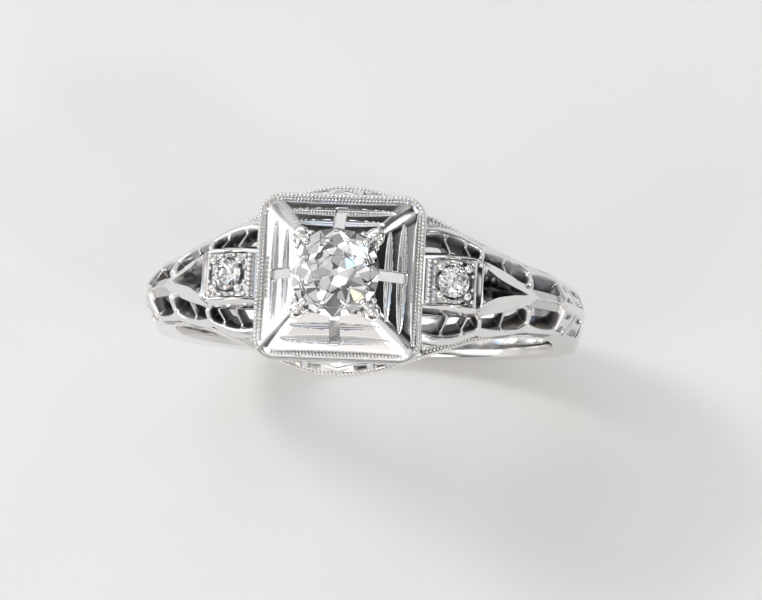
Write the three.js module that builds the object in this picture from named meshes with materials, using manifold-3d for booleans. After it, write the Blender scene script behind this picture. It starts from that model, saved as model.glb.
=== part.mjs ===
// Engagement ring in white gold: a pierced square head with an old-cut diamond, filigree shoulders
// with one small diamond each, and a plain shank.
// Millimetres. The origin is the centre of the finger hole, +Z points to the head and +Y lies along
// the finger. Angles round the ring are in degrees from the head towards +X.
import * as THREE from 'three';
import { mergeVertices } from 'three/addons/utils/BufferGeometryUtils.js';
import { ConvexGeometry } from 'three/addons/geometries/ConvexGeometry.js';
import Module from 'manifold-3d';

// ---------------------------------------------------------------- driving dimensions
const FINGER_RADIUS = 8.45;          // US size 6 1/2
const SEAM = 0.05;                   // solder seam left between neighbouring pieces
const SHANK_SIDE_RADIUS = 10.0;
const SHANK_BACK_RADIUS = 9.8;
const SHANK_START = 70;              // the shank runs from this angle round the back
const SHOULDER_END = SHANK_START - 0.4;
const SHANK_BACK_HALF = 1.0;         // half width at the back of the hand
const SHANK_DOME = 0.22;             // fall of the section from its middle to its edges, at the back
const SHANK_RIDGE = 0.95;            // the same fall where the shank meets the shoulders
const RAIL_WIDTH = 0.4;
const RAIL_TOP_RADIUS = 8.85;
const PANEL_FOOT_RADIUS = RAIL_TOP_RADIUS + SEAM;
const PANEL_THICKNESS = 0.38;
const HEAD_HALF = 3.55;              // half side of the square head
const HEAD_CORNER_RADIUS = 0.9;
const HEAD_RIM_Z = 9.95;
const HEAD_PEAK_HALF = 1.75;         // half side of the square the pyramid rises to
const HEAD_PEAK_Z = 11.2;
const PLATE_THICKNESS = 0.36;
const SLOT_HALF_WIDTH = 0.24;
const SLOT_OUTER = 3.0;              // far end of each slot from the middle of the head
const FRAME_HALF = 3.42;
const FRAME_TOP_Z = HEAD_RIM_Z - PLATE_THICKNESS - SEAM;
const FRAME_RING_HEIGHT = 0.3;
const FRAME_WALL = 0.34;
const FRAME_WALL_LENGTH = 5.2;
const SHOULDER_START_X = HEAD_HALF + SEAM;
const BRIDGE_THICKNESS = 0.6;        // plate along the top of each shoulder
const LEAF_START = 34;               // the plate narrows to a leaf from here
const LEAF_TIP = 55.5;
const CENTRE_STONE_RADIUS = 1.95;
const CENTRE_GIRDLE_Z = 11.5;
const PRONG_TOP_Z = CENTRE_GIRDLE_Z + 0.18;
const SIDE_STONE_RADIUS = 0.7;
const SIDE_STONE_ANGLE = 27;
const SIDE_STONE_TILT = 21;          // lean of the shoulder plate at the small stone

// outer line of the ring, as angle and radius
const outerLine = new THREE.CubicInterpolant(
  [18, 23.4, 27, 31.2, 34.7, 43.3, 54, 62, 90, 180],
  [10.4, 10.84, 11.0, 10.99, 10.89, 10.5, 10.18, 10.1, SHANK_SIDE_RADIUS, SHANK_BACK_RADIUS],
  1,
);

// half width of the shoulder plate at its foot and inside its sloping bands, and the fall of the bands
const plateHalf = new THREE.CubicInterpolant(
  [18, 30, 34, 37, 40, 43.5, 49.5, 53.5, LEAF_TIP],
  [1.36, 1.36, 1.32, 1.22, 1.08, 0.92, 0.62, 0.36, 0.1],
  1,
);
const plateInner = new THREE.CubicInterpolant(
  [18, 30, 33.5, 36, 38.5, 42.5, 46, 50, LEAF_TIP],
  [1.04, 1.04, 1.0, 0.7, 0.47, 0.27, 0.14, 0.07, 0.03],
  1,
);
const plateFall = new THREE.CubicInterpolant(
  [18, 31, 36, 40, 46, 52, LEAF_TIP],
  [0.9, 0.95, 0.75, 0.58, 0.45, 0.32, 0.1],
  1,
);

// filigree windows of one side panel: angles of each end at the plate and at the foot, and the
// window's top and bottom as shares of the panel height
const PANEL_WINDOWS = [
  { from: [23.0, 23.0], to: [27.9, 27.0], top: 0.08, bottom: 0.5 },
  { from: [28.9, 27.9], to: [33.3, 33.2], top: 0.08, bottom: 0.56 },
  { from: [34.3, 34.1], to: [35.5, 37.6], top: 0.08, bottom: 0.53 },
  { from: [37.3, 39.7], to: [44.6, 46.3], top: 0.12, bottom: 0.68 },
  { from: [45.8, 47.4], to: [51.9, 54.8], top: 0.12, bottom: 0.7 },
  { from: [54.2, 57.1], to: [65.6, 67.6], top: 0.3, bottom: 0.76 },
];
const GALLERY_WINDOW_CENTRES = [-2.7, -1.85, -1.0, 1.0, 1.85, 2.7];
const GALLERY_WINDOW_WIDTH = 0.5;

// ---------------------------------------------------------------- materials
const whiteGold = (name, roughness) => new THREE.MeshStandardMaterial({
  name, color: 0xe4e2e0, metalness: 1, roughness,
});
const polishedGold = whiteGold('white_gold_polished', 0.12);
const filigreeGold = whiteGold('white_gold_filigree', 0.28);
const diamond = new THREE.MeshStandardMaterial({
  name: 'diamond', color: 0xf4f6fa, metalness: 0, roughness: 0.02,
});

// ---------------------------------------------------------------- solids
const wasm = await Module();
wasm.setup();

const { degToRad, lerp, smoothstep } = THREE.MathUtils;

function signedVolume(positions, index) {
  const a = new THREE.Vector3();
  const b = new THREE.Vector3();
  const c = new THREE.Vector3();
  let volume = 0;
  for (let i = 0; i < index.length; i += 3) {
    a.fromArray(positions, index[i] * 3);
    b.fromArray(positions, index[i + 1] * 3);
    c.fromArray(positions, index[i + 2] * 3);
    volume += a.dot(b.cross(c)) / 6;
  }
  return volume;
}

// a closed geometry as a solid with its faces outward, even when it was built mirrored
function toSolid(geometry) {
  geometry.deleteAttribute('normal');
  geometry.deleteAttribute('uv');
  const merged = mergeVertices(geometry, 1e-4);
  const vertProperties = new Float32Array(merged.attributes.position.array);
  const triVerts = new Uint32Array(merged.index.array);
  if (signedVolume(vertProperties, triVerts) < 0) {
    for (let i = 0; i < triVerts.length; i += 3) {
      [triVerts[i], triVerts[i + 1]] = [triVerts[i + 1], triVerts[i]];
    }
  }
  return new wasm.Manifold(new wasm.Mesh({ numProp: 3, vertProperties, triVerts }));
}

function toMesh(name, solid, material) {
  const { vertProperties, triVerts } = solid.getMesh();
  const geometry = new THREE.BufferGeometry();
  geometry.setAttribute('position', new THREE.BufferAttribute(vertProperties, 3));
  geometry.setIndex(new THREE.BufferAttribute(triVerts, 1));
  geometry.computeVertexNormals();
  const mesh = new THREE.Mesh(geometry, material);
  mesh.name = name;
  return mesh;
}

// a block of unit size divided into segments and bent: place gives the point for u, v, w in 0..1
function bentBlock([along, across, through], place) {
  const geometry = new THREE.BoxGeometry(1, 1, 1, along, across, through);
  const position = geometry.attributes.position;
  for (let i = 0; i < position.count; i += 1) {
    const point = place(position.getX(i) + 0.5, position.getY(i) + 0.5, position.getZ(i) + 0.5);
    position.setXYZ(i, point.x, point.y, point.z);
  }
  return toSolid(geometry);
}

// the point at an angle round the ring, a distance along the finger and a radius
function onRing(degrees, y, radius) {
  const angle = degToRad(degrees);
  return new THREE.Vector3(radius * Math.sin(angle), y, radius * Math.cos(angle));
}

// ---------------------------------------------------------------- outlines
// half width of the ring at its finger-side edge, seen from above the head
function edgeHalfWidth(x) {
  return 1.05 + 3.07 * Math.exp(-((x / 5.7) ** 2));
}

function outerRadius(degrees) {
  return outerLine.evaluate(Math.abs(degrees))[0];
}

function bridgeHalfWidth(degrees) {
  return degrees < LEAF_TIP ? plateHalf.evaluate(degrees)[0] : 0.02;
}

function bridgeFall(degrees) {
  return degrees < LEAF_TIP ? plateFall.evaluate(degrees)[0] : 0.06;
}

// how far a rounded square of half side 1 reaches at an angle round Z, for a circle of radius 1
function squareReach(angle, cornerRadius) {
  const c = Math.abs(Math.cos(angle));
  const s = Math.abs(Math.sin(angle));
  const straight = 1 - cornerRadius;
  const flat = 1 / Math.max(c, s);
  if (Math.min(c, s) * flat <= straight) return flat;
  const toCentre = straight * (c + s);
  return toCentre + Math.sqrt(toCentre ** 2 - 2 * straight ** 2 + cornerRadius ** 2);
}

// ---------------------------------------------------------------- shank
// ridged like the shoulders where it meets them, and gently domed from the side of the finger back
function makeShank() {
  const section = (degrees, v, w) => {
    const back = smoothstep(degrees, 90, 180);
    const ridge = 1 - smoothstep(degrees, SHANK_START, 108);
    const edgeX = RAIL_TOP_RADIUS * Math.sin(degToRad(Math.min(degrees, 90)));
    const half = lerp(edgeHalfWidth(edgeX), SHANK_BACK_HALF, back);
    const across = Math.abs(2 * v - 1);
    const drop = lerp(SHANK_DOME * across ** 2, SHANK_RIDGE * across ** 1.2, ridge);
    return { y: half * (2 * v - 1), radius: lerp(FINGER_RADIUS, outerRadius(degrees) - drop, w) };
  };
  return bentBlock([44, 6, 1], (u, v, w) => {
    const degrees = lerp(SHANK_START, 360 - SHANK_START, u);
    const { y, radius } = section(Math.min(degrees, 360 - degrees), v, w);
    return onRing(degrees, y, radius);
  });
}

// ---------------------------------------------------------------- shoulders
// a place on the pierced side panel: u along the shoulder, v from the plate down to the rail
function panelPlace(side, face) {
  return (degrees, v, w) => {
    const shoulder = outerRadius(degrees) - bridgeFall(degrees);
    const drop = v ** 1.25;
    const radius = lerp(shoulder, PANEL_FOOT_RADIUS, drop);
    const x = radius * Math.sin(degToRad(degrees));
    const top = bridgeHalfWidth(degrees) + SEAM;
    const y = lerp(top, edgeHalfWidth(x), v ** 0.85);
    const inward = PANEL_THICKNESS * w;
    const point = onRing(degrees, y - inward * v, radius - inward * (1 - v));
    return point.set(side * point.x, face * point.y, point.z);
  };
}

// the angle where a panel line at height v meets the side of the head
function panelStart(v) {
  let degrees = 20;
  for (let pass = 0; pass < 8; pass += 1) {
    const shoulder = outerRadius(degrees) - bridgeFall(degrees);
    const radius = lerp(shoulder, PANEL_FOOT_RADIUS, v ** 1.25);
    degrees = THREE.MathUtils.radToDeg(Math.asin(SHOULDER_START_X / radius));
  }
  return degrees;
}

function makePanel(side, face) {
  const place = panelPlace(side, face);
  let panel = bentBlock([20, 4, 1], (u, v, w) => place(lerp(panelStart(v), SHOULDER_END, u), v, w));
  for (const { from, to, top, bottom } of PANEL_WINDOWS) {
    const cutter = bentBlock([1, 2, 1], (u, v, w) => {
      const degrees = lerp(lerp(...from, v), lerp(...to, v), u);
      return place(degrees, lerp(top, bottom, v), lerp(-0.6, 1.8, w));
    });
    panel = panel.subtract(cutter);
  }
  return panel;
}

function makeRail(face) {
  return bentBlock([40, 1, 1], (u, v, w) => {
    const degrees = lerp(-SHOULDER_END, SHOULDER_END, u);
    const radius = lerp(FINGER_RADIUS, RAIL_TOP_RADIUS, v);
    const x = RAIL_TOP_RADIUS * Math.sin(degToRad(degrees));
    return onRing(degrees, face * (edgeHalfWidth(x) - RAIL_WIDTH * w), radius);
  });
}

function sideStoneFrame(side) {
  const at = onRing(SIDE_STONE_ANGLE, 0, outerRadius(SIDE_STONE_ANGLE));
  const matrix = new THREE.Matrix4().makeRotationY(degToRad(side * SIDE_STONE_TILT));
  return matrix.setPosition(side * at.x, 0, at.z);
}

function makeBridge(side) {
  const start = THREE.MathUtils.radToDeg(Math.asin(SHOULDER_START_X / outerRadius(20)));
  const place = (degrees, across, depth) => {
    const inner = plateInner.evaluate(degrees)[0];
    const outer = plateHalf.evaluate(degrees)[0];
    const past = Math.max(0, 2 * Math.abs(across) - 1);
    const half = Math.sign(across) * lerp(inner * Math.min(1, 2 * Math.abs(across)), outer, past);
    const point = onRing(degrees, half, outerRadius(degrees) - bridgeFall(degrees) * past - depth);
    point.x = Math.max(point.x, SHOULDER_START_X);
    return point.set(side * point.x, point.y, point.z);
  };
  const plate = bentBlock([20, 8, 1], (u, v, w) => (
    place(lerp(start, LEAF_TIP - 0.3, u), 2 * v - 1, BRIDGE_THICKNESS * (1 - w))
  ));
  const scoop = bentBlock([6, 2, 1], (u, v, w) => {
    const depth = lerp(0.3 * (1 - Math.abs(2 * v - 1)) * (1 - 0.8 * u), -0.5, w);
    return place(lerp(LEAF_START + 0.6, LEAF_TIP - 5, u), lerp(-0.48, 0.48, v), depth);
  });
  const clearance = makeStone(SIDE_STONE_RADIUS + 0.03);
  clearance.applyMatrix4(sideStoneFrame(side));
  const well = new THREE.CylinderGeometry(0.42, 0.42, 2, 16).rotateX(Math.PI / 2);
  well.applyMatrix4(sideStoneFrame(side));
  return plate.subtract(scoop).subtract(toSolid(clearance)).subtract(toSolid(well));
}

// ---------------------------------------------------------------- stones
// an old round cut about its girdle: eight-sided table, deep crown, faceted pavilion, open culet
function makeStone(radius) {
  const rings = [
    { reach: 0.52, z: 0.31, count: 8, turn: 0 },
    { reach: 0.79, z: 0.185, count: 8, turn: 0.5 },
    { reach: 1.0, z: 0.03, count: 16, turn: 0 },
    { reach: 1.0, z: -0.03, count: 16, turn: 0 },
    { reach: 0.42, z: -0.56, count: 8, turn: 0.5 },
    { reach: 0.07, z: -0.86, count: 8, turn: 0 },
  ];
  const points = [];
  for (const { reach, z, count, turn } of rings) {
    for (let k = 0; k < count; k += 1) {
      const angle = (2 * Math.PI * (k + turn)) / count;
      points.push(new THREE.Vector3(
        radius * reach * Math.cos(angle),
        radius * reach * Math.sin(angle),
        radius * z,
      ));
    }
  }
  return new ConvexGeometry(points);
}

function centreStone(radius) {
  return toSolid(makeStone(radius).translate(0, 0, CENTRE_GIRDLE_Z));
}

// ---------------------------------------------------------------- head
// a turned ring whose outer part is drawn out to a rounded square
function squaredLathe(profile, sides, roundWithin, squareBeyond) {
  const outline = profile.map(([reach, z]) => new THREE.Vector2(reach, z));
  outline.push(outline[0].clone());
  const geometry = new THREE.LatheGeometry(outline, sides).rotateX(Math.PI / 2);
  const position = geometry.attributes.position;
  for (let i = 0; i < position.count; i += 1) {
    const x = position.getX(i);
    const y = position.getY(i);
    const reach = Math.hypot(x, y);
    const corner = HEAD_CORNER_RADIUS / HEAD_HALF;
    const square = squareReach(Math.atan2(y, x), corner);
    const stretch = lerp(1, square, smoothstep(reach, roundWithin, squareBeyond));
    position.setXY(i, x * stretch, y * stretch);
  }
  return toSolid(geometry);
}

function makeHeadPlate() {
  const seat = 1.5;
  const hip = HEAD_HALF - 0.25;
  const profile = [
    [HEAD_HALF, HEAD_RIM_Z - PLATE_THICKNESS],
    [HEAD_HALF, HEAD_RIM_Z - 0.12],
    [HEAD_HALF - 0.1, HEAD_RIM_Z],
    [hip, HEAD_RIM_Z + 0.06],
    [HEAD_PEAK_HALF, HEAD_PEAK_Z],
    [seat, HEAD_PEAK_Z],
    [seat, HEAD_PEAK_Z - PLATE_THICKNESS],
    [hip - 0.1, HEAD_RIM_Z - PLATE_THICKNESS],
  ];
  let plate = squaredLathe(profile.map(([reach, z]) => [reach, -z]), 48, seat + 0.05, HEAD_PEAK_HALF);
  plate = plate.mirror([0, 0, 1]);
  for (let quarter = 0; quarter < 4; quarter += 1) {
    plate = plate.add(makeProng(quarter));
  }
  for (let quarter = 0; quarter < 4; quarter += 1) {
    const length = SLOT_OUTER - seat + 0.3;
    const slot = new THREE.BoxGeometry(length, 2 * SLOT_HALF_WIDTH, 3);
    slot.translate(SLOT_OUTER - length / 2, 0, HEAD_PEAK_Z - 0.5).rotateZ((quarter * Math.PI) / 2);
    plate = plate.subtract(toSolid(slot));
  }
  return plate.subtract(centreStone(CENTRE_STONE_RADIUS + 0.04));
}

// a corner prong, raised from the plate and pushed over the edge of the stone
function makeProng(quarter) {
  const body = new THREE.CylinderGeometry(0.18, 0.32, PRONG_TOP_Z - HEAD_PEAK_Z + 0.5, 8);
  body.rotateX(Math.PI / 2).translate(CENTRE_STONE_RADIUS + 0.12, 0, (PRONG_TOP_Z + HEAD_PEAK_Z - 0.5) / 2);
  const tip = new THREE.SphereGeometry(0.24, 8, 6);
  tip.translate(CENTRE_STONE_RADIUS, 0, PRONG_TOP_Z);
  const turn = degToRad(45 + 90 * quarter);
  return toSolid(body.rotateZ(turn)).add(toSolid(tip.rotateZ(turn)));
}

// the frame under the plate: a square ring and the two walls that the shoulders are soldered to
function makeHeadFrame() {
  const outline = new THREE.Shape();
  const straight = FRAME_HALF - HEAD_CORNER_RADIUS;
  for (let quarter = 0; quarter < 4; quarter += 1) {
    const from = (quarter * Math.PI) / 2;
    const x = straight * Math.SQRT2 * Math.cos(from + Math.PI / 4);
    const y = straight * Math.SQRT2 * Math.sin(from + Math.PI / 4);
    outline.absarc(x, y, HEAD_CORNER_RADIUS, from, from + Math.PI / 2, false);
  }
  outline.closePath();
  const depth = FRAME_RING_HEIGHT;
  const block = new THREE.ExtrudeGeometry(outline, { depth, bevelEnabled: false, curveSegments: 5 });
  block.translate(0, 0, FRAME_TOP_Z - depth);
  const inside = FRAME_HALF - FRAME_WALL;
  const hollow = new THREE.BoxGeometry(2 * inside, 2 * inside, 4).translate(0, 0, FRAME_TOP_Z);
  let frame = toSolid(block).subtract(toSolid(hollow));
  const footZ = Math.sqrt(PANEL_FOOT_RADIUS ** 2 - inside ** 2);
  for (const side of [-1, 1]) {
    const height = FRAME_TOP_Z - footZ;
    const wall = new THREE.BoxGeometry(FRAME_WALL, FRAME_WALL_LENGTH, height);
    wall.translate(side * (FRAME_HALF - FRAME_WALL / 2), 0, footZ + height / 2);
    frame = frame.add(toSolid(wall));
  }
  return frame;
}

function makeGallery(face) {
  const reachX = 3.3;
  const topZ = FRAME_TOP_Z - FRAME_RING_HEIGHT - SEAM;
  const straight = FRAME_HALF - HEAD_CORNER_RADIUS;
  const place = (x, v, w) => {
    const past = Math.max(0, Math.abs(x) - straight);
    const topY = straight + Math.sqrt(HEAD_CORNER_RADIUS ** 2 - past ** 2);
    const footZ = Math.sqrt(PANEL_FOOT_RADIUS ** 2 - x ** 2);
    const y = lerp(topY, edgeHalfWidth(x), v) - 0.34 * w;
    return new THREE.Vector3(x, face * y, lerp(topZ, footZ, v));
  };
  let gallery = bentBlock([16, 1, 1], (u, v, w) => place(lerp(-reachX, reachX, u), v, w));
  for (const centre of GALLERY_WINDOW_CENTRES) {
    const cutter = bentBlock([1, 1, 1], (u, v, w) => {
      const x = centre + GALLERY_WINDOW_WIDTH * (u - 0.5);
      return place(x, lerp(0.22, 0.78, v), lerp(-0.5, 1.5, w));
    });
    gallery = gallery.subtract(cutter);
  }
  return gallery;
}

// the collet under the stone, a cone open at both ends
function makeCentreSeat() {
  const top = CENTRE_GIRDLE_Z - 0.2;
  const bottom = HEAD_PEAK_Z - 1.35;
  const profile = [[1.42, top], [1.12, top], [0.62, bottom], [0.92, bottom], [1.42, top]];
  const outline = profile.map(([reach, z]) => new THREE.Vector2(reach, -z));
  const cone = toSolid(new THREE.LatheGeometry(outline, 32).rotateX(Math.PI / 2)).mirror([0, 0, 1]);
  return cone.subtract(centreStone(CENTRE_STONE_RADIUS + 0.04));
}

// ---------------------------------------------------------------- assembly
const ring = new THREE.Group();
ring.add(toMesh('shank', makeShank(), polishedGold));

for (const [side, sideName] of [[-1, 'left'], [1, 'right']]) {
  ring.add(toMesh(`shoulder_bridge_${sideName}`, makeBridge(side), polishedGold));
  const stone = toSolid(makeStone(SIDE_STONE_RADIUS).applyMatrix4(sideStoneFrame(side)));
  ring.add(toMesh(`side_diamond_${sideName}`, stone, diamond));
  for (const [face, faceName] of [[-1, 'front'], [1, 'rear']]) {
    ring.add(toMesh(`filigree_panel_${faceName}_${sideName}`, makePanel(side, face), filigreeGold));
  }
}
for (const [face, faceName] of [[-1, 'front'], [1, 'rear']]) {
  ring.add(toMesh(`gallery_${faceName}`, makeGallery(face), filigreeGold));
  ring.add(toMesh(`rail_${faceName}`, makeRail(face), filigreeGold));
}
ring.add(toMesh('head_frame', makeHeadFrame(), polishedGold));
ring.add(toMesh('head_plate', makeHeadPlate(), polishedGold));
ring.add(toMesh('centre_seat', makeCentreSeat(), polishedGold));
ring.add(toMesh('centre_diamond', centreStone(CENTRE_STONE_RADIUS), diamond));

export default ring;
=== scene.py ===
import math

import bpy
import numpy as np
from bpy.props import FloatProperty, FloatVectorProperty, IntProperty, PointerProperty
from bpy.types import Operator, Panel, PropertyGroup
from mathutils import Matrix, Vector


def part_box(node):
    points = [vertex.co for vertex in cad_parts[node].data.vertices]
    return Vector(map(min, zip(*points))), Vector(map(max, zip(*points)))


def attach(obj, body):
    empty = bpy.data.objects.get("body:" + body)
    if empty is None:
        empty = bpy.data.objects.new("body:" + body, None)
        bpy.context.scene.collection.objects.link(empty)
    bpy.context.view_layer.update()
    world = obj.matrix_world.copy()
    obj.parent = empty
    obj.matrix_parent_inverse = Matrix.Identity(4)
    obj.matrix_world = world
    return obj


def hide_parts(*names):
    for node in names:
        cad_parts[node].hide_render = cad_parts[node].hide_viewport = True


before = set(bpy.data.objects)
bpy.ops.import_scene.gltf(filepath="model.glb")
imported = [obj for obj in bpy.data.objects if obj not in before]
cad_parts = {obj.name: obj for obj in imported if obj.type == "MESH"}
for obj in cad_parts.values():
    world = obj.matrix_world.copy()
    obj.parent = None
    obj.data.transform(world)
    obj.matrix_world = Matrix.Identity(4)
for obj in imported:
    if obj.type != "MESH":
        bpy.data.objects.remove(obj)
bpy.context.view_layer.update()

bl_info = {
    "name": "Filigree Engagement Ring",
    "version": (1, 0, 0),
    "blender": (4, 5, 0),
    "location": "View3D > Sidebar > Ring",
    "description": "Builds the fine surfaces of a white gold filigree engagement ring on its frame",
    "category": "Object",
}

# Shapes are worked out in millimetres: +Z points from the finger hole to the head, +Y lies along the
# finger, and angles round the ring are in degrees from the head towards +X.
MM = 0.001


def node_box(node):
    """Lowest and highest corner of a frame node, in millimetres."""
    low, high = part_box(node)
    return np.array(low) / MM, np.array(high) / MM


PLATE_HIGH = node_box("head_plate")[1]
STONE_LOW, STONE_HIGH = node_box("centre_diamond")
SIDE_HIGH = node_box("side_diamond_right")[1]
SHANK_LOW = node_box("shank")[0]

FINGER_RADIUS = 8.45
RAIL_RADIUS = 8.66                   # middle of the wire along the finger-side edge
RAIL_TOP_RADIUS = 8.85
RAIL_HALF = 0.2                      # half the wire's width and height
PANEL_FOOT_RADIUS = 8.9              # where a shoulder side meets the rail
SHOULDER_RADIUS = 11.0               # of the outer line at a side stone
SHOULDER_END = 70.0
SHANK_START = 70.0
RAIL_END = 69.5
STONE_TOP_SHARE = 0.31               # crown height over girdle radius
STONE_FOOT_SHARE = 0.86              # pavilion depth over girdle radius
SIDE_STONE_ANGLE = 27.0
SIDE_STONE_TILT = 21.0
PAINTED_SHADE_COLOUR = (0.19, 0.185, 0.19)  # painted shade: the dark colour that hollows are blended towards, where shade falls
FACES = (("front", -1), ("rear", 1))
SIDES = (("left", -1), ("right", 1))


# ------------------------------------------------------------------ sizes and colours
class RingSizes(PropertyGroup):
    """Sizes in millimetres that a maker would change."""

    head_half: FloatProperty(
        name="Head half side", description="Half the side of the square head, mm",
        default=float(PLATE_HIGH[0]), min=2.0, max=6.0)
    head_corner: FloatProperty(
        name="Head corner radius", description="Radius of the head's corners at its rim, mm",
        default=0.88, min=0.5, max=2.0)
    rim_height: FloatProperty(
        name="Rim height", description="Height of the head's rim over the finger hole's centre, mm",
        default=9.95, min=8.0, max=14.0)
    peak_half: FloatProperty(
        name="Peak half side", description="Half side of the square the head rises to, mm",
        default=1.75, min=1.0, max=3.0)
    peak_height: FloatProperty(
        name="Peak height", description="Height of that square over the finger hole's centre, mm",
        default=11.2, min=9.0, max=15.0)
    slot_half: FloatProperty(
        name="Slot half width", description="Half width of the four slots in the head, mm",
        default=0.24, min=0.05, max=0.6)
    slot_outer: FloatProperty(
        name="Slot reach", description="Outer end of the slots from the head's middle, mm",
        default=3.0, min=2.0, max=3.4)
    stone_radius: FloatProperty(
        name="Centre stone radius", description="Girdle radius of the centre stone, mm",
        default=float(STONE_HIGH[0]), min=1.0, max=4.0)
    side_stone_radius: FloatProperty(
        name="Side stone radius", description="Girdle radius of a side stone, mm",
        default=float(SIDE_HIGH[1]), min=0.3, max=1.5)
    bead_radius: FloatProperty(
        name="Milgrain radius", description="Radius of one milgrain bead, mm",
        default=0.08, min=0.02, max=0.2)
    bead_pitch: FloatProperty(
        name="Milgrain pitch", description="Distance from bead to bead, mm",
        default=0.175, min=0.05, max=0.5)
    grid: IntProperty(
        name="Grid", description="Columns on each side of the head plate's surface",
        default=120, min=40, max=160)


class RingFinish(PropertyGroup):
    """Colours and finish."""

    gold: FloatVectorProperty(
        name="White gold", description="Colour of the polished metal", subtype="COLOR", size=3,
        default=(0.86, 0.85, 0.84), min=0.0, max=1.0)
    polish: FloatProperty(
        name="Polish", description="Roughness of the polished metal", subtype="FACTOR",
        default=0.09, min=0.0, max=1.0)
    filigree: FloatProperty(
        name="Filigree roughness", description="Roughness of the pierced work", subtype="FACTOR",
        default=0.2, min=0.0, max=1.0)
    floor: FloatVectorProperty(
        name="Floor", description="Colour of the floor", subtype="COLOR", size=3,
        default=(0.8, 0.8, 0.795), min=0.0, max=1.0)


# ------------------------------------------------------------------ outlines, as in the frame
def edge_half_width(x):
    """Half width of the ring at its finger-side edge: a bell curve over a constant."""
    return 1.05 + 3.07 * np.exp(-((x / 5.7) ** 2))


def smoothstep(x, low, high):
    """Cubic step 3 t^2 - 2 t^3, where t is the share of x between low and high."""
    t = np.clip((x - low) / (high - low), 0.0, 1.0)
    return t * t * (3 - 2 * t)


def mix(a, b, t):
    """Straight blend: a at t = 0 and b at t = 1."""
    return a + (b - a) * t


def through(degrees, knots, values):
    """Cubic through the knots, with slopes taken from their neighbours."""
    knots, values = np.array(knots, float), np.array(values, float)
    angle = np.clip(np.abs(degrees), knots[0], knots[-1])
    slopes = np.gradient(values, knots)
    k = np.clip(np.searchsorted(knots, angle) - 1, 0, len(knots) - 2)
    span = knots[k + 1] - knots[k]
    t = (angle - knots[k]) / span
    start = (1 + 2 * t) * (1 - t) ** 2 * values[k] + t * (1 - t) ** 2 * span * slopes[k]
    end = t ** 2 * (3 - 2 * t) * values[k + 1] + t ** 2 * (t - 1) * span * slopes[k + 1]
    return start + end


def outer_radius(degrees):
    """Radius of the ring's outer line."""
    return through(degrees, (18, 23.4, 27, 31.2, 34.7, 43.3, 54, 62, 90, 180),
                   (10.4, 10.84, 11.0, 10.99, 10.89, 10.5, 10.18, 10.1, 10.0, 9.8))


def plate_half(degrees):
    """Half width of the shoulder plate at its foot: a box, then a leaf down to its tip."""
    return through(degrees, (18, 30, 34, 37, 40, 43.5, 49.5, 53.5, 55.5, 56.5, 60, 90),
                   (1.36, 1.36, 1.32, 1.22, 1.08, 0.92, 0.62, 0.38, 0.08, 0.03, 0.03, 0.03))


def plate_inner(degrees):
    """Half width of its hollowed middle, inside the two sloping bands."""
    return through(degrees, (18, 30, 33.5, 36, 38.5, 42.5, 46, 50, 54.5, 60),
                   (1.04, 1.04, 1.0, 0.7, 0.47, 0.27, 0.14, 0.05, 0.01, 0.01))


def plate_drop(degrees):
    """How far the bands fall from the middle's edge to the foot."""
    return through(degrees, (18, 31, 36, 40, 46, 52, 55.5, 57, 90),
                   (0.9, 0.95, 0.75, 0.58, 0.45, 0.32, 0.1, 0.05, 0.05))


def on_ring(degrees, y, radius):
    """Points at an angle round the ring, a distance along the finger and a radius."""
    angle, y, radius = np.broadcast_arrays(np.radians(degrees), y, radius)
    return np.stack([radius * np.sin(angle), y, radius * np.cos(angle)], -1)


def foot_radius(degrees):
    """Radius of a shoulder side's foot, which rises a little into the shank."""
    return mix(PANEL_FOOT_RADIUS, 9.1, smoothstep(degrees, 58.0, 70.0))


def panel_point(side, face, degrees, v, lift=0.0):
    """Side of the shoulder: from the plate (v = 0) out and down to the rail (v = 1), lifted outward."""
    degrees, v, lift = np.broadcast_arrays(degrees, v, lift)
    shoulder = outer_radius(degrees) - plate_drop(degrees)
    radius = mix(shoulder, foot_radius(degrees), v ** 1.25)
    x = radius * np.sin(np.radians(degrees))
    y = mix(plate_half(degrees) - 0.03, edge_half_width(x), v ** 0.85)
    steep = 0.35 + 0.6 * v
    point = on_ring(degrees, y + lift * steep, radius + lift * np.sqrt(1 - steep ** 2))
    return point * np.array([side, face, 1.0])


def unit(vectors):
    """Each vector divided by its own length."""
    return vectors / np.maximum(np.linalg.norm(vectors, axis=-1, keepdims=True), 1e-12)


# ------------------------------------------------------------------ shells of points and faces
def outward(points, faces):
    """The faces, turned over if the closed shell's signed volume is negative."""
    volume = 0.0
    for face in faces:
        corners = points[np.asarray(face)]
        for k in range(1, corners.shape[1] - 1):
            volume += np.einsum("ij,ij->", corners[:, 0], np.cross(corners[:, k], corners[:, k + 1]))
    return faces if volume > 0 else [np.asarray(face)[:, ::-1] for face in faces]


def loft(sections, ring=False):
    """Closed skin over closed sections (n, m, 3); the ends are capped unless the path is a ring."""
    n, m, _ = sections.shape
    index = np.arange(n * m).reshape(n, m)
    a = index if ring else index[:-1]
    b = np.roll(index, -1, 0) if ring else index[1:]
    quads = np.stack([a, np.roll(a, -1, 1), np.roll(b, -1, 1), b], -1).reshape(-1, 4)
    points = sections.reshape(-1, 3)
    faces = [quads]
    if not ring:
        points = np.vstack([points, sections[0].mean(0), sections[-1].mean(0)])
        first, last = index[0], index[-1]
        start = np.stack([np.full(m, n * m), np.roll(first, -1), first], -1)
        end = np.stack([np.full(m, n * m + 1), last, np.roll(last, -1)], -1)
        faces.append(np.vstack([start, end]))
    return points, outward(points, faces)


def superellipse(sides, power):
    """Unit closed section: |x|^p + |y|^p = 1."""
    angle = 2 * np.pi * np.arange(sides) / sides
    c, s = np.cos(angle), np.sin(angle)
    return np.sign(c) * np.abs(c) ** (2 / power), np.sign(s) * np.abs(s) ** (2 / power)


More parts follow.
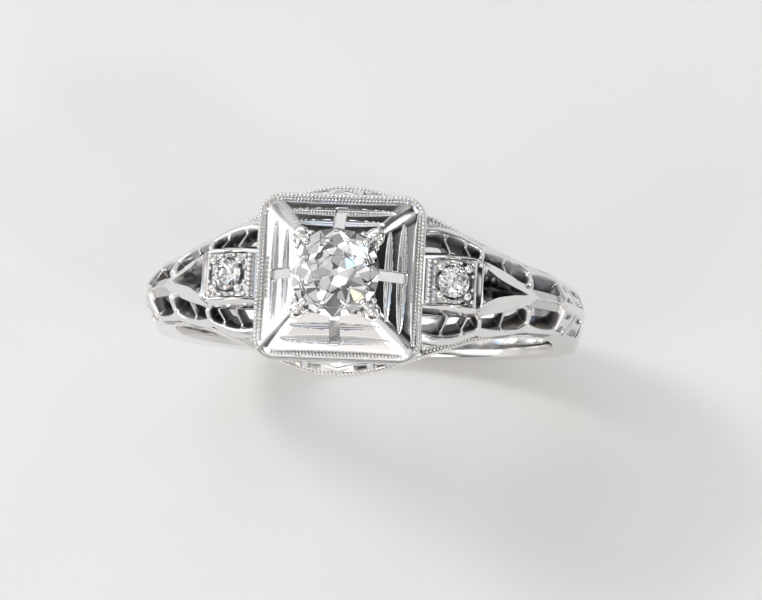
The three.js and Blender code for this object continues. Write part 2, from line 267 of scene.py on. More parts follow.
def bar(path, up, half_width, half_height, sides=12, power=3.0):
    """A superellipse section carried along a path; up gives the direction of its height."""
    path = np.asarray(path, float)
    tangent = unit(np.gradient(path, axis=0))
    across = unit(np.cross(tangent, up))
    rise = np.cross(across, tangent)
    c, s = superellipse(sides, power)
    half_width = np.broadcast_to(half_width, len(path))[:, None, None]
    half_height = np.broadcast_to(half_height, len(path))[:, None, None]
    across = across[:, None] * c[None, :, None] * half_width
    rise = rise[:, None] * s[None, :, None] * half_height
    return loft(path[:, None] + across + rise)


def bead_template():
    """A ball of 32 faces: an octahedron whose edges are halved and pushed out to the unit sphere."""
    corner = np.vstack([np.eye(3), -np.eye(3)])
    points, faces, middle = list(corner), [], {}

    def halfway(i, j):
        """Number of the point halfway along an edge, pushed out to the sphere and made once."""
        key = (min(i, j), max(i, j))
        if key not in middle:
            middle[key] = len(points)
            points.append(unit(points[i] + points[j]))
        return middle[key]

    for sx in (0, 3):
        for sy in (1, 4):
            for sz in (2, 5):
                a, b, c = (sx, sy, sz) if (sx > 2) + (sy > 2) + (sz > 2) in (0, 2) else (sx, sz, sy)
                ab, bc, ca = halfway(a, b), halfway(b, c), halfway(c, a)
                faces += [(a, ab, ca), (ab, b, bc), (ca, bc, c), (ab, bc, ca)]
    return np.array(points), np.array(faces)


BEAD_POINTS, BEAD_FACES = bead_template()


def beads(centres, radius):
    """One ball at each centre."""
    centres = np.asarray(centres, float).reshape(-1, 3)
    radius = np.broadcast_to(radius, len(centres))[:, None, None]
    points = (centres[:, None] + BEAD_POINTS[None] * radius).reshape(-1, 3)
    shift = np.arange(len(centres))[:, None, None] * len(BEAD_POINTS)
    return points, [(BEAD_FACES[None] + shift).reshape(-1, 3)]


def spaced(path, pitch):
    """Points at an even pitch along a fine path."""
    step = np.linalg.norm(np.diff(path, axis=0), axis=1)
    run = np.concatenate([[0.0], np.cumsum(step)])
    count = max(2, int(round(run[-1] / pitch)) + 1)
    at = np.linspace(0, run[-1], count)
    return np.stack([np.interp(at, run, path[:, k]) for k in range(3)], -1)


def joined(shells):
    """Several shells as one, with their faces renumbered."""
    points, faces, count = [], [], 0
    for shell_points, shell_faces in shells:
        points.append(shell_points)
        faces += [np.asarray(face) + count for face in shell_faces]
        count += len(shell_points)
    return np.vstack(points), faces


def moved(shell, matrix):
    """A shell turned and shifted by a 4 x 4 matrix."""
    points, faces = shell
    return points @ matrix[:3, :3].T + matrix[:3, 3], faces


def mirrored(shell, side):
    """A shell of the right side (side = 1), or its mirror image (side = -1) with faces outward."""
    points, faces = shell
    points = points * np.array([side, 1.0, 1.0])
    return points, (faces if side > 0 else [np.asarray(face)[:, ::-1] for face in faces])


INSIDE_SHADE = 0.84                  # painted shade on the inner face of a pierced sheet
SLOPE_STEP = 1e-4                    # step in u and v that the slope of the distance is taken over


def pierced(place, grid, size, distance, lift, thickness):
    """Thick sheet with holes cut through it.

    The sheet is a grid over u and v, both 0 to 1. distance(u, v) is how far the metal reaches from the
    nearest hole, below zero inside one; cells below zero are left out and the points on a hole's
    edge are moved down the slope of the distance on to its zero line. place(u, v, lift) gives the
    points; grid is the number of columns and rows, and size the sheet's length and width, used to
    weigh the two directions.
    """
    columns, rows = grid
    u, v = np.meshgrid(np.linspace(0, 1, columns), np.linspace(0, 1, rows), indexing="ij")
    f = distance(u, v)
    keep = f[:-1, :-1] + f[1:, :-1] + f[:-1, 1:] + f[1:, 1:] > 0
    index = np.arange(columns * rows).reshape(columns, rows)
    quads = np.stack([index[:-1, :-1], index[1:, :-1], index[1:, 1:], index[:-1, 1:]], -1)
    kept, cut = quads[keep], quads[~keep]
    on_edge = np.zeros(columns * rows, bool)
    on_edge[np.intersect1d(kept, cut)] = True
    on_edge = on_edge.reshape(columns, rows)
    step = SLOPE_STEP
    fu = (distance(u + step, v) - distance(u - step, v)) / (2 * step * size[0])
    fv = (distance(u, v + step) - distance(u, v - step)) / (2 * step * size[1])
    slope = np.maximum(fu ** 2 + fv ** 2, 0.05)
    limit_u, limit_v = 0.8 / (columns - 1), 0.8 / (rows - 1)
    shift_u = np.clip(-f * fu / slope / size[0], -limit_u, limit_u)
    shift_v = np.clip(-f * fv / slope / size[1], -limit_v, limit_v)
    u = np.clip(np.where(on_edge, u + shift_u, u), 0, 1)
    v = np.clip(np.where(on_edge, v + shift_v, v), 0, 1)
    f = np.where(on_edge, 0.0, f)
    raised, shade = lift(u, v, f)
    top = place(u, v, raised).reshape(-1, 3)
    bottom = place(u, v, -thickness).reshape(-1, 3)
    count = len(top)
    start = kept.ravel()
    end = np.roll(kept, -1, 1).ravel()
    lonely = ~np.isin(start * count + end, end * count + start)
    start, end = start[lonely], end[lonely]
    walls = np.stack([end, start, start + count, end + count], -1)
    faces = np.vstack([kept, kept[:, ::-1] + count, walls])
    used, faces = np.unique(faces, return_inverse=True)
    points = np.vstack([top, bottom])[used]
    # painted shade on each point: from lift on the top face, INSIDE_SHADE on the inner face
    shade = np.concatenate([shade.ravel(), np.full(count, INSIDE_SHADE)])[used]
    return (points, outward(points, [faces.reshape(-1, 4)])), shade


def add_piece(name, shell, material, nodes=(), sharp=None, shade=None):
    """A mesh object from a shell in millimetres, riding on the ring in place of its frame nodes."""
    points, faces = shell
    mesh = bpy.data.meshes.new(name)
    mesh.from_pydata((points * MM).tolist(), [], [f for face in faces for f in face.tolist()])
    mesh.polygons.foreach_set("use_smooth", np.ones(len(mesh.polygons), bool))
    if sharp is not None:
        mesh.set_sharp_from_angle(angle=math.radians(sharp))
    # painted shade, stored on each point for the metal to darken by
    if shade is not None:
        layer = mesh.attributes.new("painted_shade", "FLOAT", "POINT")
        layer.data.foreach_set("value", np.asarray(shade, np.float32))
    mesh.materials.append(material)
    mesh.update()
    piece = bpy.data.objects.new(name, mesh)
    bpy.context.scene.collection.objects.link(piece)
    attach(piece, "root")
    if nodes:
        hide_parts(*nodes)
    return piece


# ------------------------------------------------------------------ materials
def new_material(name):
    """An empty material: itself, its nodes, its shader and the Object coordinates."""
    material = bpy.data.materials.new(name)
    material.use_nodes = True
    tree = material.node_tree
    shader = tree.nodes["Principled BSDF"]
    coordinates = tree.nodes.new("ShaderNodeTexCoord")
    return material, tree, shader, coordinates.outputs["Object"]


def noise(tree, vector, scale, detail, stretch=None):
    """Noise of a scale over the coordinates, which may be stretched first."""
    if stretch is not None:
        mapping = tree.nodes.new("ShaderNodeMapping")
        mapping.inputs["Scale"].default_value = stretch
        tree.links.new(vector, mapping.inputs["Vector"])
        vector = mapping.outputs["Vector"]
    node = tree.nodes.new("ShaderNodeTexNoise")
    node.inputs["Scale"].default_value = scale
    node.inputs["Detail"].default_value = detail
    tree.links.new(vector, node.inputs["Vector"])
    return node.outputs["Fac"]


def ramp(tree, value, low, high, to_low, to_high):
    """Straight map of the range low to high on to the range to_low to to_high."""
    node = tree.nodes.new("ShaderNodeMapRange")
    node.inputs["From Min"].default_value = low
    node.inputs["From Max"].default_value = high
    node.inputs["To Min"].default_value = to_low
    node.inputs["To Max"].default_value = to_high
    tree.links.new(value, node.inputs["Value"])
    return node.outputs["Result"]


def tinted(tree, factor, dark, light):
    """Blend from a dark to a light colour by a factor."""
    node = tree.nodes.new("ShaderNodeMix")
    node.data_type = "RGBA"
    node.inputs["A"].default_value = (*dark, 1)
    node.inputs["B"].default_value = (*light, 1)
    tree.links.new(factor, node.inputs["Factor"])
    return node.outputs["Result"]


def bump(tree, height, strength, distance, after=None):
    """Surface direction leaned by a height, after an earlier bump if there is one."""
    node = tree.nodes.new("ShaderNodeBump")
    node.inputs["Strength"].default_value = strength
    node.inputs["Distance"].default_value = distance
    tree.links.new(height, node.inputs["Height"])
    if after is not None:
        tree.links.new(after, node.inputs["Normal"])
    return node.outputs["Normal"]


def white_gold(name, roughness, colour, relief):
    """Worn white gold: clouded polish, fine polishing lines and small dents; painted shade darkens its
    hollows.
    """
    material, tree, shader, place = new_material(name)
    shader.inputs["Metallic"].default_value = 1.0
    cloud = noise(tree, place, 450.0, 4.0)
    lines = noise(tree, place, 9000.0, 2.0, stretch=(1.0, 0.12, 0.35))
    dents = noise(tree, place, 1500.0, 3.0)
    painted_shade = tree.nodes.new("ShaderNodeAttribute")
    painted_shade.attribute_name = "painted_shade"
    dark = tuple(0.9 * c for c in colour)
    metal = tinted(tree, cloud, dark, colour)
    # painted shade: the metal's colour is blended towards the dark shade colour by the shade stored on
    # each point
    painted_hollow_shade = tree.nodes.new("ShaderNodeMix")
    painted_hollow_shade.data_type = "RGBA"
    painted_hollow_shade.inputs["B"].default_value = (*PAINTED_SHADE_COLOUR, 1)
    tree.links.new(painted_shade.outputs["Fac"], painted_hollow_shade.inputs["Factor"])
    tree.links.new(metal, painted_hollow_shade.inputs["A"])
    tree.links.new(painted_hollow_shade.outputs["Result"], shader.inputs["Base Color"])
    tree.links.new(ramp(tree, cloud, 0.3, 0.7, 0.75 * roughness, 1.5 * roughness),
                   shader.inputs["Roughness"])
    surface = bump(tree, dents, 0.15 * relief, 0.00003)
    surface = bump(tree, lines, 0.1 * relief, 0.000008, after=surface)
    tree.links.new(surface, shader.inputs["Normal"])
    return material


def diamond_material(name, tint):
    """Clear stone with a trace of colour and very faint polish lines on its facets."""
    material, tree, shader, place = new_material(name)
    shader.inputs["Transmission Weight"].default_value = 1.0
    shader.inputs["IOR"].default_value = 2.417
    cloud = noise(tree, place, 900.0, 2.0)
    pale = tuple(0.97 * c for c in tint)
    tree.links.new(tinted(tree, cloud, pale, tint), shader.inputs["Base Color"])
    tree.links.new(ramp(tree, cloud, 0.2, 0.8, 0.0, 0.012), shader.inputs["Roughness"])
    return material


def floor_material(name, colour):
    """Matt pale paper with a soft mottle."""
    material, tree, shader, place = new_material(name)
    cloud = noise(tree, place, 30.0, 4.0)
    grain = noise(tree, place, 2500.0, 2.0)
    dark = tuple(0.96 * c for c in colour)
    tree.links.new(tinted(tree, cloud, dark, colour), shader.inputs["Base Color"])
    tree.links.new(ramp(tree, grain, 0.3, 0.7, 0.75, 0.9), shader.inputs["Roughness"])
    tree.links.new(bump(tree, grain, 0.15, 0.00005), shader.inputs["Normal"])
    return material


MATERIALS = {}


def material_named(name):
    """One of the ring's materials, made the first time it is asked for."""
    if name not in MATERIALS:
        finish = bpy.context.scene.ring_finish
        gold = tuple(finish.gold)
        makers = {
            "polished_gold": lambda: white_gold(name, finish.polish, gold, 1.0),
            "filigree_gold": lambda: white_gold(name, finish.filigree, gold, 1.6),
            "milgrain_gold": lambda: white_gold(name, 0.15, gold, 0.6),
            "inner_gold": lambda: white_gold(name, 0.3, tuple(0.85 * c for c in gold), 1.5),
            "diamond": lambda: diamond_material(name, (0.985, 0.985, 1.0)),
            "floor_paper": lambda: floor_material(name, tuple(finish.floor)),
        }
        MATERIALS[name] = makers[name]()
    return MATERIALS[name]


# ------------------------------------------------------------------ stones
def old_cut(radius, table=0.53, culet=0.07):
    """Old round cut about its girdle, girdle radius 1 scaled up.

    Eight kites, stars and halves above, eight mains with short halves below, and an open culet. Each
    kite lies in the plane through its two ends and the tangent of the girdle, which sets the
    height of its side points.
    """
    top, foot, band = STONE_TOP_SHARE, STONE_FOOT_SHARE, 0.03
    k8 = np.arange(8)
    k16 = np.arange(16)
    cos8 = math.cos(math.pi / 8)
    star, low_star = 0.79, 0.47

    def ring(reach, z, count, turn):
        """Even points on a level circle, shifted by a share of one step."""
        angle = 2 * np.pi * (np.arange(count) + turn) / count
        return np.stack([reach * np.cos(angle), reach * np.sin(angle), np.full(count, z)], -1)

    crown_slope = (top - band) / (table - 1.0)
    star_z = band + (star * cos8 - 1.0) * crown_slope
    deep_slope = (foot - band) / (1.0 - culet * cos8)
    low_z = -band - (1.0 - low_star * cos8) * deep_slope
    points = np.vstack([
        ring(table, top, 8, 0.0), ring(star, star_z, 8, 0.5), ring(1.0, band, 16, 0.0),
        ring(1.0, -band, 16, 0.0), ring(low_star, low_z, 8, 0.5), ring(culet, -foot, 8, 0.5),
    ])
    t, s, g, h, w, c = 0, 8, 16, 32, 48, 56
    after, before = (k8 + 1) % 8, (k8 - 1) % 8
    next16 = (k16 + 1) % 16
    right, left = (2 * k8 + 1) % 16, (2 * k8 - 1) % 16
    stars = np.stack([t + k8, s + k8, t + after], -1)
    kites = np.stack([t + k8, s + before, g + 2 * k8, s + k8], -1)
    halves = np.vstack([
        np.stack([s + k8, g + 2 * k8, g + right], -1),
        np.stack([s + before, g + left, g + 2 * k8], -1),
    ])
    girdle = np.stack([g + k16, h + k16, h + next16, g + next16], -1)
    mains = np.stack([h + 2 * k8, w + before, c + before, c + k8, w + k8], -1)
    low_halves = np.vstack([
        np.stack([w + k8, h + right, h + 2 * k8], -1),
        np.stack([w + before, h + 2 * k8, h + left], -1),
    ])
    faces = [stars, kites, halves, girdle, mains, low_halves, (t + k8)[None], (c + k8)[None, ::-1]]
    return points * radius, faces


def side_frame(side):
    """Place of a side stone: on the shoulder's outer line, leaned about Y."""
    turn = math.radians(side * SIDE_STONE_TILT)
    c, s = math.cos(turn), math.sin(turn)
    at = on_ring(SIDE_STONE_ANGLE, 0.0, float(outer_radius(SIDE_STONE_ANGLE)))
    matrix = np.eye(4)
    matrix[:3, :3] = [[c, 0, s], [0, 1, 0], [-s, 0, c]]
    matrix[:3, 3] = [side * at[0], 0.0, at[2]]
    return matrix


def girdle_height(sizes):
    """Height of the centre stone's girdle: its foot and the depth below the girdle."""
    return float(STONE_LOW[2]) + STONE_FOOT_SHARE * sizes.stone_radius


def flat_shaded(piece):
    """Shade each facet of a stone flat."""
    piece.data.polygons.foreach_set("use_smooth", np.zeros(len(piece.data.polygons), bool))
    piece.data.update()


class RING_OT_stones(Operator):
    """Cut the centre stone and the two side stones"""

    bl_idname = "ring.add_stones"
    bl_label = "Stones"

    def execute(self, context):
        sizes = context.scene.ring_sizes
        clear = material_named("diamond")
        points, faces = old_cut(sizes.stone_radius)
        points = points + [0, 0, girdle_height(sizes)]
        stone = add_piece("centre_stone", (points, faces), clear, ["centre_diamond"])
        flat_shaded(stone)
        for name, side in SIDES:
            shell = moved(old_cut(sizes.side_stone_radius), side_frame(side))
            stone = add_piece(f"side_stone_{name}", shell, clear, [f"side_diamond_{name}"])
            flat_shaded(stone)
        return {"FINISHED"}


# ------------------------------------------------------------------ head
def lens(across, along, centre, half_width, half_length, depth):
    """Flute with pointed ends: a parabola across, narrowing to nothing at both ends."""
    share = np.clip(1 - (along / half_length) ** 2, 0.0, 1.0)
    width = half_width * np.sqrt(share) + 1e-6
    return depth * np.sqrt(share) * np.clip(1 - ((across - centre) / width) ** 2, 0.0, 1.0)


# flutes on each face of the head: distance out, half width, half length and depth
FLUTES = ((2.25, 0.15, 1.95, 0.13), (2.8, 0.18, 2.4, 0.15), (3.35, 0.12, 2.9, 0.09))
FLUTE_SHADE = 3.2                    # painted shade in the flutes, per millimetre of their depth
WALL_DEPTH = 0.4                     # of the plate's edge, below its rim, mm
RIM_ROUND = 0.2                      # radius of the rim, mm
RIM_SWEEP = 54                       # degrees that the rim turns, from the wall to the slope
PEAK_CORNER = 0.42                   # radius of the corners at the peak, mm
FACE_BULGE = 0.06                    # how far the faces swell at their middle, mm
FACE_FALL = 0.004                    # fall towards the corners, by the square of the distance
PLATE_THICKNESS = 0.3
SLOT_CELLS = 3                       # columns across half a slot


def head_rows(sizes):
    """Half side and height down the head's profile: wall, rounded rim, slope, peak and seat wall."""
    wall = np.stack([np.full(4, sizes.head_half), np.linspace(-WALL_DEPTH, -RIM_ROUND, 4)], -1)
    turn = np.linspace(0, math.radians(RIM_SWEEP), 9)[1:]
    rim = np.stack([sizes.head_half - RIM_ROUND + RIM_ROUND * np.cos(turn),
                    -RIM_ROUND + RIM_ROUND * np.sin(turn)], -1)
    run = np.concatenate([np.linspace(rim[-1, 0], sizes.slot_outer, 16)[1:],
                          np.linspace(sizes.slot_outer, sizes.peak_half, 56)[1:]])
    slope = (sizes.peak_height - sizes.rim_height - rim[-1, 1]) / (rim[-1, 0] - sizes.peak_half)
    face = np.stack([run, rim[-1, 1] + slope * (rim[-1, 0] - run)], -1)
    peak = face[-1, 1]
    seat = np.array([[1.68, peak], [1.6, peak - 0.02], [1.55, peak - 0.1], [1.52, peak - 0.3]])
    rows = np.vstack([wall, rim, face, seat])
    return rows[:, 0], rows[:, 1] + sizes.rim_height


def head_surface(sizes):
    """Square rings of the head's height field: points, painted shade in the flutes and a mask of slot
    cells.

    Down the profile the half side shrinks and the height rises; round it, each side runs straight,
    then turns on a corner arc that tightens towards the peak. The columns of half a side are the
    slot's first, then the rest, out to the corner's diagonal.
    """
    half, height = head_rows(sizes)
    slot = np.linspace(0, 1, SLOT_CELLS + 1)
    rest = np.linspace(0, 1, sizes.grid // 2 - SLOT_CELLS)[1:]
    share = np.clip((half - sizes.peak_half) / (sizes.head_half - sizes.peak_half), 0, 1)
    corner = (PEAK_CORNER + (sizes.head_corner - PEAK_CORNER) * share)[:, None]
    half = half[:, None]
    straight = half - corner
    length = straight + corner * math.pi / 4
    along = np.concatenate([
        np.broadcast_to(sizes.slot_half * slot, (len(half), len(slot))),
        sizes.slot_half + (length - sizes.slot_half) * rest[None],
    ], 1)
    turn = np.clip((along - straight) / corner, 0, None)
    x = np.where(turn > 0, straight + corner * np.sin(turn), along)
    y = np.where(turn > 0, straight + corner * np.cos(turn), half)
    bulge = FACE_BULGE * np.clip(1 - ((half - 2.5) / 0.85) ** 2, 0, 1)
    z = height[:, None] + bulge - FACE_FALL * along ** 2
    cut = np.zeros_like(z)
    for centre, half_width, half_length, depth in FLUTES:
        cut += lens(half, along, centre, half_width, half_length, depth)
    # fourth coordinate: painted shade in the flutes
    right = np.stack([x, y, z - cut, FLUTE_SHADE * cut], -1)
    left = right[:, :0:-1] * np.array([-1.0, 1.0, 1.0, 1.0])
    side = np.concatenate([left, right], 1)[:, :-1]
    quarters = [side]
    for _ in range(3):
        last = quarters[-1]
        quarters.append(np.stack([last[..., 1], -last[..., 0], last[..., 2], last[..., 3]], -1))
    surface = np.concatenate(quarters, 1)
    columns = side.shape[1]
    middle = left.shape[1]
    in_slot = np.zeros(columns, bool)
    in_slot[middle - SLOT_CELLS:middle + SLOT_CELLS] = True
    in_rows = half[:-1, 0] <= sizes.slot_outer + 1e-6
    return surface[..., :3], surface[..., 3], in_rows[:, None] & np.tile(in_slot, 4)[None]


def prong(sizes, turn):
    """Corner prong: a low mound in the corner, a grain over the stone's edge and three behind it.

    The claw between them runs inward at an even rate, and its rise is a quarter of a sine wave.
    """
    radius, peak, girdle = sizes.stone_radius, sizes.peak_height, girdle_height(sizes)
    points, faces = ball([0, 0, 0], 1.0, 12, 24)
    mound = (points * [0.5, 0.42, 0.16] + [radius + 0.3, 0, peak - 0.03], faces)
    t = np.linspace(0, 1, 10)
    rise = (girdle + 0.16 - peak) * np.sin(1.57 * t)
    path = np.stack([radius + 0.36 - 0.45 * t, 0 * t, peak + rise], -1)
    claw = bar(path, [0.5, 0, 1.0], 0.14, 0.13, sides=12, power=2.2)
    shells = [mound, claw, ball([radius - 0.1, 0, girdle + 0.15], 0.2),
              ball([radius + 0.38, 0, peak + 0.12], 0.19)]
    for sign in (-1, 1):
        shells.append(ball([radius + 0.06, sign * 0.4, peak + 0.1], 0.15, 8, 12))
    c, s = math.cos(turn), math.sin(turn)
    matrix = np.eye(4)
    matrix[:2, :2] = [[c, -s], [s, c]]
    return moved(joined(shells), matrix)


def ball(centre, radius, rings=10, segments=16):
    """Sphere from latitude and longitude, with one point at each pole."""
    lat = np.linspace(0, math.pi, rings + 1)[1:-1]
    lon = 2 * np.pi * np.arange(segments) / segments
    body = np.stack([np.sin(lat)[:, None] * np.cos(lon), np.sin(lat)[:, None] * np.sin(lon),
                     np.cos(lat)[:, None] + 0 * lon], -1)
    points, faces = loft(body)
    points[-2:] = [[0, 0, 1], [0, 0, -1]]
    return points * radius + np.asarray(centre, float), faces


def open_grid(points, holes):
    """Quads over a grid that closes round its second direction, leaving out the hole cells."""
    n, m, _ = points.shape
    index = np.arange(n * m).reshape(n, m)
    a, b = index[:-1], index[1:]
    quads = np.stack([b, np.roll(b, -1, 1), np.roll(a, -1, 1), a], -1)
    return points.reshape(-1, 3), [quads[~holes]]


class RING_OT_head_plate(Operator):
    """Raise the fluted square plate, cut its slots and pull up its prongs"""

    bl_idname = "ring.add_head_plate"
    bl_label = "Head plate"

    def execute(self, context):
        sizes = context.scene.ring_sizes
        gold = material_named("polished_gold")
        points, shade, holes = head_surface(sizes)
        plate = add_piece("head_plate_fluted", open_grid(points, holes), gold,
                          ["head_plate"], sharp=38, shade=shade.ravel())
        sheet = plate.modifiers.new("Sheet", "SOLIDIFY")
        sheet.thickness = PLATE_THICKNESS * MM
        sheet.offset = -1.0
        prongs = joined([prong(sizes, math.radians(45 + 90 * k)) for k in range(4)])
        add_piece("corner_prongs", prongs, gold)
        return {"FINISHED"}


def square_loop(half, corner, z, count=40):
    """Points round a square with rounded corners, from the middle of one side.

    Along each direction the reach is to the flat side, or past its end to the corner's circle.
    """
    angle = 2 * np.pi * (np.arange(4 * count) + 0.5) / (4 * count)
    c, s = np.abs(np.cos(angle)), np.abs(np.sin(angle))
    straight = half - corner
    flat = half / np.maximum(c, s)
    inner = straight * (c + s)
    arc = inner + np.sqrt(np.maximum(inner ** 2 - 2 * straight ** 2 + corner ** 2, 0))
    reach = np.where(np.minimum(c, s) * flat <= straight, flat, arc)
    return np.stack([reach * np.cos(angle), reach * np.sin(angle), np.full(4 * count, z)], -1)


BORDER_DIP = 0.2                     # of the head's border along the front, mm
# section of that border: out from the head's side and up from its rim
BORDER_SECTION = ((-0.1, -0.3), (-0.1, -0.04), (-0.07, 0.0), (0.09, 0.0), (0.13, -0.05), (0.13, -0.34))
BOX_WALL = 0.34                      # thickness of the box under the head, mm
BOX_RIM = 0.3                        # height of its top rim, mm


def border_loop(sizes, out, rise, count=40):
    """Loop round the head's border, which dips below the rim along the front."""
    loop = square_loop(sizes.head_half + out, sizes.head_corner + out, sizes.rim_height + rise, count)
    loop[:, 2] -= BORDER_DIP * smoothstep(-loop[:, 1], 0.9, sizes.head_half - 0.1)
    return loop


def square_band(profile):
    """A closed profile of (half side, corner, height) carried round the square head."""
    sections = np.stack([square_loop(*row) for row in profile], 1)
    return loft(sections, ring=True)


class RING_OT_head_frame(Operator):
    """Build the square box under the head plate and the collet under the stone"""

    bl_idname = "ring.add_head_frame"
    bl_label = "Head frame and seat"

    def execute(self, context):
        sizes = context.scene.ring_sizes
        gold = material_named("inner_gold")
        low, high = node_box("head_frame")
        half = float(high[0])
        inner, foot = half - BOX_WALL, high[2] - BOX_RIM
        walls = [square_band([(half, 0.85, high[2]), (half, 0.85, foot),
                              (inner, 0.6, foot), (inner, 0.6, high[2])])]
        for side in (-1, 1):
            z = np.linspace(low[2], high[2] - 0.02, 12)
            path = np.stack([np.full(12, side * (half - BOX_WALL / 2)), 0 * z, z], -1)
            walls.append(bar(path, [1.0, 0, 0], 2.6, 0.16, sides=24, power=12))
        add_piece("head_box", joined(walls), gold, ["head_frame"], sharp=35)
        sections = np.stack([border_loop(sizes, *row) for row in BORDER_SECTION], 1)
        add_piece("head_border", loft(sections, ring=True), material_named("polished_gold"),
                  sharp=35)
        low, high = node_box("centre_seat")
        angle = 2 * np.pi * np.arange(96) / 96
        profile = [(1.40, high[2]), (1.16, high[2] - 0.02), (0.66, low[2]), (0.9, low[2])]
        sections = np.stack([np.stack([r * np.cos(angle), r * np.sin(angle), 0 * angle + z], -1)
                             for r, z in profile], 1)
        add_piece("stone_collet", loft(sections, ring=True), gold,
                  ["centre_seat"], sharp=35)
        return {"FINISHED"}


# ------------------------------------------------------------------ shoulders
def bridge_relief(degrees, across):
    """Depth cut into the plate's hollowed middle: the stone's box, a groove, then the leaf's scoop; and
    painted shade in each of them.
    """
    run = (degrees - SIDE_STONE_ANGLE) * math.radians(1) * SHOULDER_RADIUS
    y = across * plate_inner(degrees)
    reach = np.where(run < 0, -run / 1.3, run / 1.06)
    inside = 1 - smoothstep(np.maximum(reach, np.abs(across)), 0.88, 0.96)
    well = 1 - smoothstep(np.hypot(run, y), 0.6, 0.76)
    box = 0.14 * inside + 0.5 * well
    groove = 0.36 * np.clip(1 - np.abs(run - 1.27) / 0.17, 0, 1) * (1 - 0.4 * across ** 2)
    t = np.clip((run - 1.45) / 3.1, 0, 1)
    entry = smoothstep(run, 1.45, 1.8)
    scoop = 0.75 * entry * (1 - t) ** 0.7 * (1 - np.abs(across)) ** 0.7
    scoop = np.where(t > 0, scoop, 0.0)
    # painted shade in the groove, the scoop, the stone's box and its well
    shade = np.clip(1.4 * groove + 2.6 * scoop + 0.3 * inside + 0.4 * well, 0, 0.97)
    return box + groove + scoop, shade


def bridge(side):
    """Shoulder plate: a hollowed middle between two sloping bands, carried down the outer line."""
    degrees = np.linspace(19.9, 55.7, 240)[:, None]
    middle = np.linspace(-1, 1, 61)[None]
    inner, half, drop = plate_inner(degrees), plate_half(degrees), plate_drop(degrees)
    depth, painted_hollow_shade = bridge_relief(degrees, middle)
    crown = 0.12 * smoothstep(degrees, 33, 38) * (1 - smoothstep(degrees, 45, 54))
    top = on_ring(degrees, inner * middle, outer_radius(degrees) + crown * middle ** 2 - depth)
    t = np.linspace(0, 1, 14)[None, 1:]
    band_y = inner + 0.03 + (half - inner - 0.03) * t
    band_r = outer_radius(degrees) + crown * (1 - t) ** 2 - drop * (0.12 * t + 0.88 * t ** 1.5)
    foot_r = outer_radius(degrees) - drop - 0.3
    right = np.concatenate([on_ring(degrees, band_y, band_r), on_ring(degrees, half, foot_r)], 1)
    back = on_ring(degrees, (half - 0.1) * np.array([[0.9, 0.3, -0.3, -0.9]]), foot_r)
    left = right[:, ::-1] * np.array([1.0, -1.0, 1.0])
    sections = np.concatenate([left, top, right, back], 1)
    sections[..., 0] = np.maximum(sections[..., 0], 3.58)
    # painted shade of the hollowed middle; the bands and the foot get none
    shade = np.zeros(sections.shape[:2])
    shade[:, left.shape[1]:left.shape[1] + top.shape[1]] = painted_hollow_shade
    return mirrored(loft(sections), side), np.append(shade.ravel(), [0.0, 0.0])


def stone_grains(side):
    """Four corner grains round a side stone, three smaller ones by each, and a row by the head."""
    shells = []
    for sx in (-1, 1):
        for sy in (-1, 1):
            shells.append(ball([0.62 * sx, 0.6 * sy, 0.02], 0.19))
            shells.append(ball([0.86 * sx, 0.3 * sy, -0.08], 0.09, 8, 12))
            shells.append(ball([0.86 * sx, 0.82 * sy, -0.06], 0.1, 8, 12))
            shells.append(ball([0.3 * sx, 0.84 * sy, -0.08], 0.09, 8, 12))
    for k in range(9):
        shells.append(ball([side * -1.12, -0.84 + 0.21 * k, 0.0], 0.1, 8, 12))
    return moved(joined(shells), side_frame(side))


class RING_OT_bridges(Operator):
    """Lay the plate with its box and leaf along each shoulder"""

    bl_idname = "ring.add_bridges"
    bl_label = "Shoulder plates"

    def execute(self, context):
        gold = material_named("polished_gold")
        for name, side in SIDES:
            shell, shade = bridge(side)
            add_piece(f"shoulder_plate_{name}", shell, gold,
                      [f"shoulder_bridge_{name}"], sharp=32, shade=shade)
            add_piece(f"side_grains_{name}", stone_grains(side), gold)
        return {"FINISHED"}


# bars between the lobes of a side: angle at the plate, angle at the foot and half width
BOUNDARIES = ((20.6, 21.6, 0.1), (36.2, 38.6, 0.14), (53.0, 56.0, 0.16), (67.2, 70.2, 0.22))
THIN_BARS = ((28.4, 27.4, 0.075), (33.8, 33.6, 0.065), (45.2, 46.9, 0.085))
BAR_FOOT = 0.6                       # height on the panel that the angle at the foot is for
HOLE_TOPS = (0.06, 0.1, 0.3)         # upper edge of each lobe's holes
# arcs along the foot of the holes: first and last angle, height at the start, swing, and how much
# of half a wave it runs through
HOLE_ARCS = ((21.0, 38.0, 0.31, 0.27, 0.8), (38.0, 55.5, 0.46, 0.27, 0.78), (55.5, 70.0, 0.6, 0.17, 0.76))
MM_PER_DEGREE = 0.172
PANEL_START = 20.6                   # angle of a panel's end by the head, at the plate
PANEL_LEAN = 3.3                     # degrees that this end leans away towards the rail
PANEL_GRID = (400, 84)
PANEL_SIZE = (8.4, 2.2)
PANEL_THICKNESS = 0.7


def bar_angle(bar_line, v):
    """Angle of a bar's middle at a height on the panel."""
    return mix(bar_line[0], bar_line[1], v / BAR_FOOT)


def hole_floor(degrees):
    """Lower edge of the holes: one hanging arc, part of a sine wave, for each lobe."""
    v = np.full_like(degrees, 0.36)
    for start, end, base, swing, turn in HOLE_ARCS:
        t = (degrees - start) / (end - start)
        v = np.where(degrees >= start, base + swing * np.sin(np.pi * turn * np.clip(t, 0, 1)), v)
    return v


def soft_min(values, softness):
    """Smallest of several distances, corners rounded: the log of the sum of their exponentials."""
    values = np.stack(values)
    least = values.min(0)
    return least - softness * np.log(np.exp(-(values - least) / softness).sum(0))


def panel_width(degrees):
    """Length across the panel from the plate to the rail, in millimetres."""
    x = PANEL_FOOT_RADIUS * np.sin(np.radians(degrees))
    fall = outer_radius(degrees) - plate_drop(degrees) - foot_radius(degrees)
    return np.hypot(edge_half_width(x) - plate_half(degrees), fall)


